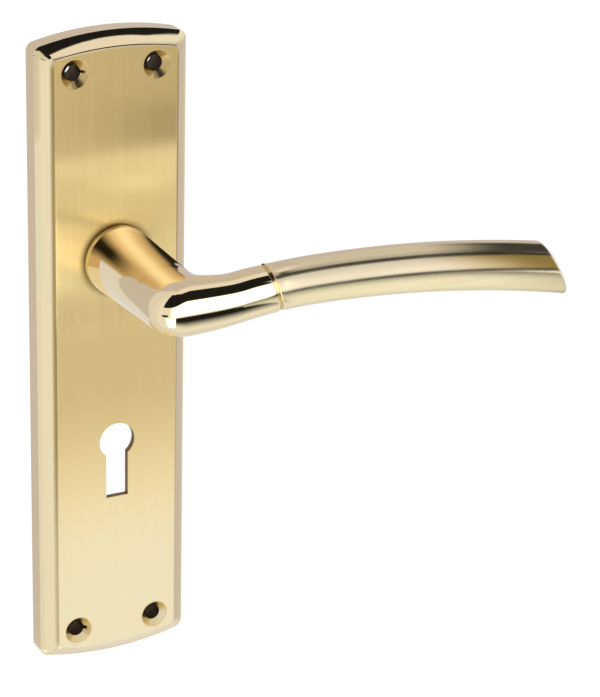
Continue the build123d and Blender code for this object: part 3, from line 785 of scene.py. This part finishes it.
def plate_finish(polygon):
    """0 polished outside, 1 satin face, 2 bare casting inside, 3 turned countersinks, 4 drilled holes painted dark as
    shade.
    """
    low, high = PLATE_LOW, PLATE_HIGH
    centre, facing = polygon.center, polygon.normal
    inside = (abs(centre.x) < high.x - BEVEL_WIDTH - 0.0001
              and low.z + END_BEVEL + 0.0019 < centre.z < high.z - END_BEVEL - 0.0019)
    if facing.y < -0.3 and centre.y < low.y + 0.0003:
        if facing.y < -0.97 or inside:
            return 1
    if facing.y < -0.3:
        return 3 if inside else 0
    across = abs(centre.x) / high.x
    upward = abs(centre.z - (low.z + high.z) / 2)
    skin = (high.z - low.z) / 2 - ARCH_RISE * across ** 2 - SKIN_DEPTH
    outside = abs(centre.x) > high.x - SKIN_DEPTH or upward > skin
    # walls of the screw holes take the casting painted dark as shade
    if inside and upward > (high.z - low.z) / 2 - END_BEVEL - 0.010 and facing.y < 0.3:
        return 4
    return 0 if outside and abs(facing.y) < 0.3 else 2


ARCH_RISE = 0.00295       # how far the plate's ends fall towards its corners
SKIN_DEPTH = 0.0006
BEVEL_WIDTH = 0.0044
END_BEVEL = 0.00405       # the bevel's width at the middle of the two arched ends
COUNTERSINK_SLOPE = math.radians(45.7)
ROLL_STEPS = 8


class LEVER_OT_backplate(bpy.types.Operator):
    """Hollow backplate with satin face and polished, dished bevel"""

    bl_idname = "lever.backplate"
    bl_label = "Backplate"

    def execute(self, context):
        sizes = context.scene.plate_sizes
        plate = copy_of_node("backplate", "plate_casting")
        rebuild_face(plate, sizes)
        apply_modifier(plate, "BEVEL", width=sizes.hole_rounding, segments=2, limit_method="ANGLE",
                       angle_limit=math.radians(50.0))
        smooth(plate, flat=lambda centre, facing: facing.y < -0.9999 and near(centre.y, PLATE_LOW.y))
        finish_piece(plate, "plate", [MATERIALS["plate_polish"], MATERIALS["plate_satin"],
                                      MATERIALS["cast_brass"], MATERIALS["turned_brass"],
                                      MATERIALS["hole_shade_brass"]])
        for polygon in plate.data.polygons:
            polygon.material_index = plate_finish(polygon)
        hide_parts("backplate")
        return {"FINISHED"}


NODE_FINISH = {
    "joint_ring": "turned_brass",
    "neck_bush": "nylon",
    "thrust_washer": "nylon",
    "stop_buffers": "nylon",
    "return_spring": "spring_steel",
    "wave_washer": "spring_steel",
    "spring_anchor_pin": "plated_steel",
    "spring_cover": "plated_steel",
    "cover_screws": "plated_steel",
    "drive_cam": "plated_steel",
    "grip_stud": "plated_steel",
    "joint_dowels": "plated_steel",
    "spindle": "plated_steel",
    "circlip": "black_steel",
    "spindle_grub_screw": "black_steel",
}


class LEVER_OT_hardware(bpy.types.Operator):
    """Finishes for the spring, the bearings, the spindle and the fasteners"""

    bl_idname = "lever.hardware"
    bl_label = "Inner hardware"

    def execute(self, context):
        for node, finish in NODE_FINISH.items():
            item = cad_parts[node]
            item.data.materials.clear()
            item.data.materials.append(MATERIALS[finish])
        return {"FINISHED"}


MATERIALS = {}


class LEVER_OT_finishes(bpy.types.Operator):
    """Brass, steel and nylon finishes"""

    bl_idname = "lever.finishes"
    bl_label = "Finishes"

    def execute(self, context):
        finishes = context.scene.lever_finishes
        MATERIALS["polished_brass"] = polished_brass(finishes)
        # the polished plate carries painted shade along its creases
        MATERIALS["plate_polish"] = polished_brass(finishes, "plate_polished_brass", crease_shade)
        MATERIALS["plate_satin"] = plate_satin(finishes)
        MATERIALS["grip_satin"] = grip_satin(finishes)
        MATERIALS["cast_brass"] = cast_brass(finishes)
        # screw holes: bare casting painted down to 30 per cent, as painted shade inside the holes
        MATERIALS["hole_shade_brass"] = cast_brass(finishes, "hole_shade_brass", 0.30)
        MATERIALS["turned_brass"] = turned_brass(finishes)
        MATERIALS["plated_steel"] = plain_metal("plated_steel", finishes.plated_steel, 0.22, 500.0, 0.000005)
        MATERIALS["spring_steel"] = plain_metal("spring_steel", finishes.spring_steel, 0.25, 700.0, 0.000004)
        MATERIALS["black_steel"] = plain_metal("black_steel", finishes.black_steel, 0.35, 900.0, 0.000004)
        MATERIALS["nylon"] = moulded_nylon(finishes)
        return {"FINISHED"}


def tent_pattern(graph):
    """Light of the tent by direction: white cloth, a bright panel and the dark gaps round the camera."""
    direction = graph.add("ShaderNodeTexCoord", output="Object")
    direction = graph.add("ShaderNodeVectorMath", {"operation": "NORMALIZE"}, {0: direction})
    split = graph.add("ShaderNodeSeparateXYZ", {}, {"Vector": direction})
    x, y, z = (Wire(graph, split.output.node.outputs[axis]) for axis in range(3))
    up = z.maths("ARCSINE", z) * math.degrees(1)
    turn = x.maths("ARCTAN2", x, 0 - y) * math.degrees(1)

    behind = graph.rise(abs(turn), 80.0, 110.0)
    left_behind = graph.between(turn, -143.0, -96.0, 4.0)
    paler = left_behind.maths("MAXIMUM", left_behind, behind * graph.rise(0 - up, 27.0, 33.0))
    tent = 0.92 - behind * 0.28 + paler * 0.18

    panel = graph.between(turn, -20.0, 50.0, 16.0) * graph.between(up, -16.5, 26.0, 1.2)
    left_low = graph.between(turn, -46.0, -4.0, 5.0) * graph.between(up, -66.0, -17.0, 3.0)
    tent = tent + panel * 1.3 + left_low * (0.3 + graph.rise(0 - up, 18.0, 29.0) * 2.2)

    ceiling = 78 - turn.maths("MAXIMUM", turn, 0.0) * 0.37
    over = (1 - graph.rise(up - ceiling, -1.2, 1.2)) * graph.rise(up, 25.5, 28.5)
    over = over * graph.between(turn, -66.0, 65.0, 3.0)
    under = graph.between(turn, -3.0, 58.0, 4.0) * (1 - graph.rise(up, -21.5, -19.5))
    under = under * graph.rise(up, -62.0, -33.0)
    beside = graph.between(turn, -65.0, -38.0, 2.5) * graph.between(up, -15.0, -5.0, 1.5)
    gap = over.maths("MAXIMUM", over.maths("MAXIMUM", over, under), beside)
    rosy = behind.maths("MAXIMUM", behind, graph.rise(up, 50.0, 66.0))
    rosy = graph.tint(rosy - paler * 0.7, (1, 1, 1, 1), (1.0, 0.93, 0.95, 1))
    return tent * (1 - gap * 0.985), rosy


def add_tent(studio):
    deselect()
    bpy.ops.mesh.primitive_uv_sphere_add(segments=32, ring_count=16, radius=studio.tent_radius)
    tent = named("light_tent")
    material, graph = fresh_material("tent_cloth")
    level, rosy = tent_pattern(graph)
    cloth = graph.add("ShaderNodeEmission", {}, {"Color": rosy, "Strength": level})
    graph.add("ShaderNodeOutputMaterial", {}, {"Surface": cloth})
    tent.data.materials.append(material)
    tent.visible_camera = tent.visible_diffuse = tent.visible_transmission = tent.visible_shadow = False


def add_card(name, low, high, side, soft, light, cover=1.0):
    """Flat card close to the object, seen only in reflections and only from one side of its plane.

    low and high are its corners, equal on the axis that it faces; side is 1 where it shows towards
    the positive end of that axis. light gives its colour and level, cover how much it hides.
    """
    deselect()
    low, high = Vector(low), Vector(high)
    facing = min(range(3), key=lambda axis: high[axis] - low[axis])
    spread = [axis for axis in range(3) if axis != facing]
    turn = {1: (-math.pi / 2, 0, 0), 2: (0, 0, 0)}[facing]
    bpy.ops.mesh.primitive_plane_add(size=1.0, location=(low + high) / 2, rotation=turn)
    card = settle(named(name))
    edit(card)
    bpy.ops.transform.resize(value=[high[axis] - low[axis] if axis in spread else 1 for axis in range(3)],
                             center_override=(low + high) / 2)
    done()
    material, graph = fresh_material(name)
    place = graph.add("ShaderNodeTexCoord", output="Object")
    split = graph.add("ShaderNodeSeparateXYZ", {}, {"Vector": place})
    across, along = (Wire(graph, split.output.node.outputs[axis]) for axis in spread)
    inside = graph.between(across, low[spread[0]] + soft, high[spread[0]] - soft, soft) * graph.between(
        along, low[spread[1]] + soft, high[spread[1]] - soft, soft)
    back = graph.add("ShaderNodeNewGeometry", output="Backfacing")
    shown = 1 - back if side > 0 else back
    tone, level = light(graph, across, along)
    glow = graph.add("ShaderNodeEmission", {}, {"Color": tone, "Strength": level})
    clear = graph.add("ShaderNodeBsdfTransparent")
    surface = graph.add("ShaderNodeMixShader", {}, {0: inside * shown * cover, 1: clear, 2: glow})
    graph.add("ShaderNodeOutputMaterial", {}, {"Surface": surface})
    card.data.materials.append(material)
    card.visible_camera = card.visible_diffuse = card.visible_transmission = card.visible_shadow = False


def upper_light(graph, x, z):
    """Grey card over the lever: darker to the right, with one dimmer patch."""
    patch = graph.between(x, 0.010, 0.034, 0.009) * graph.between(z, 0.024, 0.038, 0.006)
    return (1.0, 0.98, 0.92, 1), 0.72 - graph.rise(x, -0.015, 0.035) * 0.12 - patch * 0.25


def middle_light(graph, x, z):
    """Thin gauze round the neck, with brighter spots above and left of it and a dark one against it."""
    spot = graph.between(x, 0.005, 0.018, 0.005) * graph.between(z, 0.0125, 0.0170, 0.003)
    dark = graph.between(x, -0.0080, -0.0020, 0.0015) * graph.between(z, 0.0085, 0.0180, 0.0015)
    left = graph.between(x, -0.0300, -0.0110, 0.0020) * graph.between(z, -0.0160, 0.0060, 0.0030)
    level = 0.90 + spot * 0.80 + graph.rise(x, 0.012, 0.024) * 0.20 + left * 0.9
    return (0.93, 0.97, 1.0, 1), level * (1 - dark * 0.9)


def lower_light(graph, x, z):
    """White card under the lever, brightest and coolest at the foot."""
    foot = graph.rise(0 - z, 0.048, 0.115) * graph.rise(x, -0.042, -0.030)
    return graph.tint(foot, (1.0, 1.0, 1.0, 1), (0.58, 0.68, 1.0, 1)), 0.79 + foot * 1.07


def golden_light(graph, x, z):
    """Gold reflector round the foot of the neck, dark at the upper left and the right, pale beyond its lower left."""
    turn = z.maths("ARCTAN2", z, x) * math.degrees(1)
    reach = x.maths("SQRT", x * x + z * z)
    left = graph.between(turn, 121.0, 154.0, 12.0) * (1 - graph.rise(reach, 0.016, 0.030))
    right = graph.between(turn, -52.0, 46.0, 14.0)
    below = 1 - graph.rise(turn, -75.0, -50.0)
    glow = graph.between(turn, 72.0, 106.0, 18.0)
    beyond = (below + graph.rise(turn, 156.0, 164.0)) * graph.rise(reach, 0.0140, 0.0148)
    tone = graph.tint(glow, (1.0, 0.70, 0.34, 1), (1.0, 0.80, 0.50, 1))
    tone = graph.tint(below, tone, (1.0, 0.84, 0.56, 1))
    tone = graph.tint(beyond, tone, (0.94, 0.93, 0.96, 1))
    level = 0.64 + glow * 0.50 + below * 0.20
    return tone, 0.02 + (1 - left - right) * (level * (1 - beyond) + beyond * 0.84)


def over_grip_light(graph, x, y):
    """Card over the grip, darker towards its front and nearly black over the tip."""
    front = graph.rise(0 - y, 0.055, 0.082)
    tip = graph.rise(x, 0.098, 0.138)
    return (1.0, 0.985, 0.93, 1), 0.05 + (1 - tip) * (0.63 - front * 0.16)


def before_grip_light(graph, x, z):
    """Card in front of the grip: brighter low down, browner near the tip, with a black lower edge."""
    tip = graph.rise(x, 0.100, 0.148)
    low = graph.rise(0 - z, -0.030, 0.004) * (1 - tip)
    lit = graph.rise(z, -0.0095, -0.0065)
    tone = graph.tint(tip, (0.93, 0.93, 0.97, 1), (0.96, 0.74, 0.26, 1))
    return tone, 0.02 + lit * (0.84 + low * 0.28 - tip * 0.56)


def under_grip_light(graph, x, y):
    """Card under the grip, dimmer along its front and back edges and near the tip."""
    back = graph.rise(y, -0.128, -0.078) - graph.rise(y, -0.062, -0.045) * 0.4
    tip = graph.rise(x, 0.105, 0.145)
    return (0.97, 0.99, 0.92, 1), 0.44 + back * 0.56 - tip * 0.30


CARDS = (
    ("upper_card", (-0.060, -0.030, 0.021), (0.075, -0.030, 0.085), 1, 0.0035, upper_light, 1.0),
    ("middle_card", (-0.060, -0.030, -0.027), (0.075, -0.030, 0.026), 1, 0.0030, middle_light, 0.70),
    ("lower_card", (-0.060, -0.031, -0.165), (0.075, -0.031, -0.022), 1, 0.0050, lower_light, 1.0),
    ("gold_card", (-0.0232, -0.0125, -0.030), (0.0232, -0.0125, 0.060), -1, 0.0006, golden_light, 1.0),
    ("over_grip", (0.047, -0.082, 0.045), (0.230, -0.015, 0.045), -1, 0.0020, over_grip_light, 1.0),
    ("before_grip", (0.045, -0.100, -0.0190), (0.190, -0.100, 0.0450), 1, 0.0020, before_grip_light, 1.0),
    ("under_grip", (0.045, -0.128, -0.030), (0.180, -0.040, -0.030), 1, 0.0020, under_grip_light, 1.0),
)


def white_world():
    """Plain light, and white where the camera, metal or glass looks past the object."""
    world = bpy.data.worlds.new("white_room")
    bpy.context.scene.world = world
    graph = Graph(world)
    camera, glossy, transmission = (graph.add("ShaderNodeLightPath", output=ray) for ray in (
        "Is Camera Ray", "Is Glossy Ray", "Is Transmission Ray"))
    seen = camera.maths("MAXIMUM", camera.maths("MAXIMUM", camera, glossy), transmission)
    background = graph.add("ShaderNodeBackground", {}, {
        "Color": (1, 1, 1, 1), "Strength": 0.8 + seen * 0.2})
    graph.add("ShaderNodeOutputWorld", {}, {"Surface": background})


def add_camera(studio):
    camera = bpy.data.objects.new("camera", bpy.data.cameras.new("camera"))
    bpy.context.scene.collection.objects.link(camera)
    camera.data.lens = studio.lens
    camera.data.sensor_width = 36.0
    look = Matrix.Rotation(-studio.camera_turn, 3, "Z") @ Matrix.Rotation(math.pi / 2 - studio.camera_dip, 3, "X")
    look = look @ Matrix.Rotation(studio.camera_roll, 3, "Z")
    camera.matrix_world = Matrix.Translation(studio.camera_place) @ look.to_4x4()
    bpy.context.scene.camera = camera


def add_floor(studio):
    deselect()
    low, high = CAD_BOUNDS
    middle = (low + high) / 2
    bpy.ops.mesh.primitive_plane_add(size=8.0, location=(middle.x, middle.y, low.z - studio.floor_drop))
    floor = named("floor")
    material, graph = fresh_material("floor_white")
    seen = graph.add("ShaderNodeLightPath", output="Is Camera Ray")
    paint = graph.add("ShaderNodeBsdfDiffuse", {}, {"Color": (0.9, 0.9, 0.9, 1)})
    glow = graph.add("ShaderNodeEmission", {}, {"Color": (1, 1, 1, 1), "Strength": seen * 0.33})
    surface = graph.add("ShaderNodeAddShader", {}, {0: paint, 1: glow})
    graph.add("ShaderNodeOutputMaterial", {}, {"Surface": surface})
    floor.data.materials.append(material)
    floor.visible_glossy = False


class LEVER_OT_studio(bpy.types.Operator):
    """Pale floor, light tent and camera"""

    bl_idname = "lever.studio"
    bl_label = "Studio"

    def execute(self, context):
        studio = context.scene.lever_studio
        context.scene.view_settings.view_transform = "Standard"
        white_world()
        add_tent(studio)
        for card in CARDS:
            add_card(*card)
        add_floor(studio)
        add_camera(studio)
        return {"FINISHED"}


class LEVER_PT_panel(bpy.types.Panel):
    """Pieces of the lever handle"""

    bl_idname = "LEVER_PT_panel"
    bl_label = "Lever Handle"
    bl_space_type = "VIEW_3D"
    bl_region_type = "UI"
    bl_category = "Lever Handle"

    def draw(self, context):
        for operator in OPERATORS:
            self.layout.operator(operator.bl_idname)


OPERATORS = (LEVER_OT_finishes, LEVER_OT_studio, LEVER_OT_backplate, LEVER_OT_neck,
             LEVER_OT_grip, LEVER_OT_hardware)
GROUPS = {"lever_sizes": LeverSizes, "plate_sizes": PlateSizes,
          "lever_finishes": Finishes, "lever_studio": Studio}


def register():
    for group in GROUPS.values():
        bpy.utils.register_class(group)
    for name, group in GROUPS.items():
        setattr(bpy.types.Scene, name, bpy.props.PointerProperty(type=group))
    for operator in OPERATORS:
        bpy.utils.register_class(operator)
    bpy.utils.register_class(LEVER_PT_panel)


def unregister():
    bpy.utils.unregister_class(LEVER_PT_panel)
    for operator in reversed(OPERATORS):
        bpy.utils.unregister_class(operator)
    for name, group in GROUPS.items():
        delattr(bpy.types.Scene, name)
        bpy.utils.unregister_class(group)


def main():
    register()
    bpy.ops.lever.finishes()
    bpy.ops.lever.studio()
    bpy.ops.lever.backplate()
    bpy.ops.lever.neck()
    bpy.ops.lever.grip()
    bpy.ops.lever.hardware()


if __name__ == "__main__":
    main()
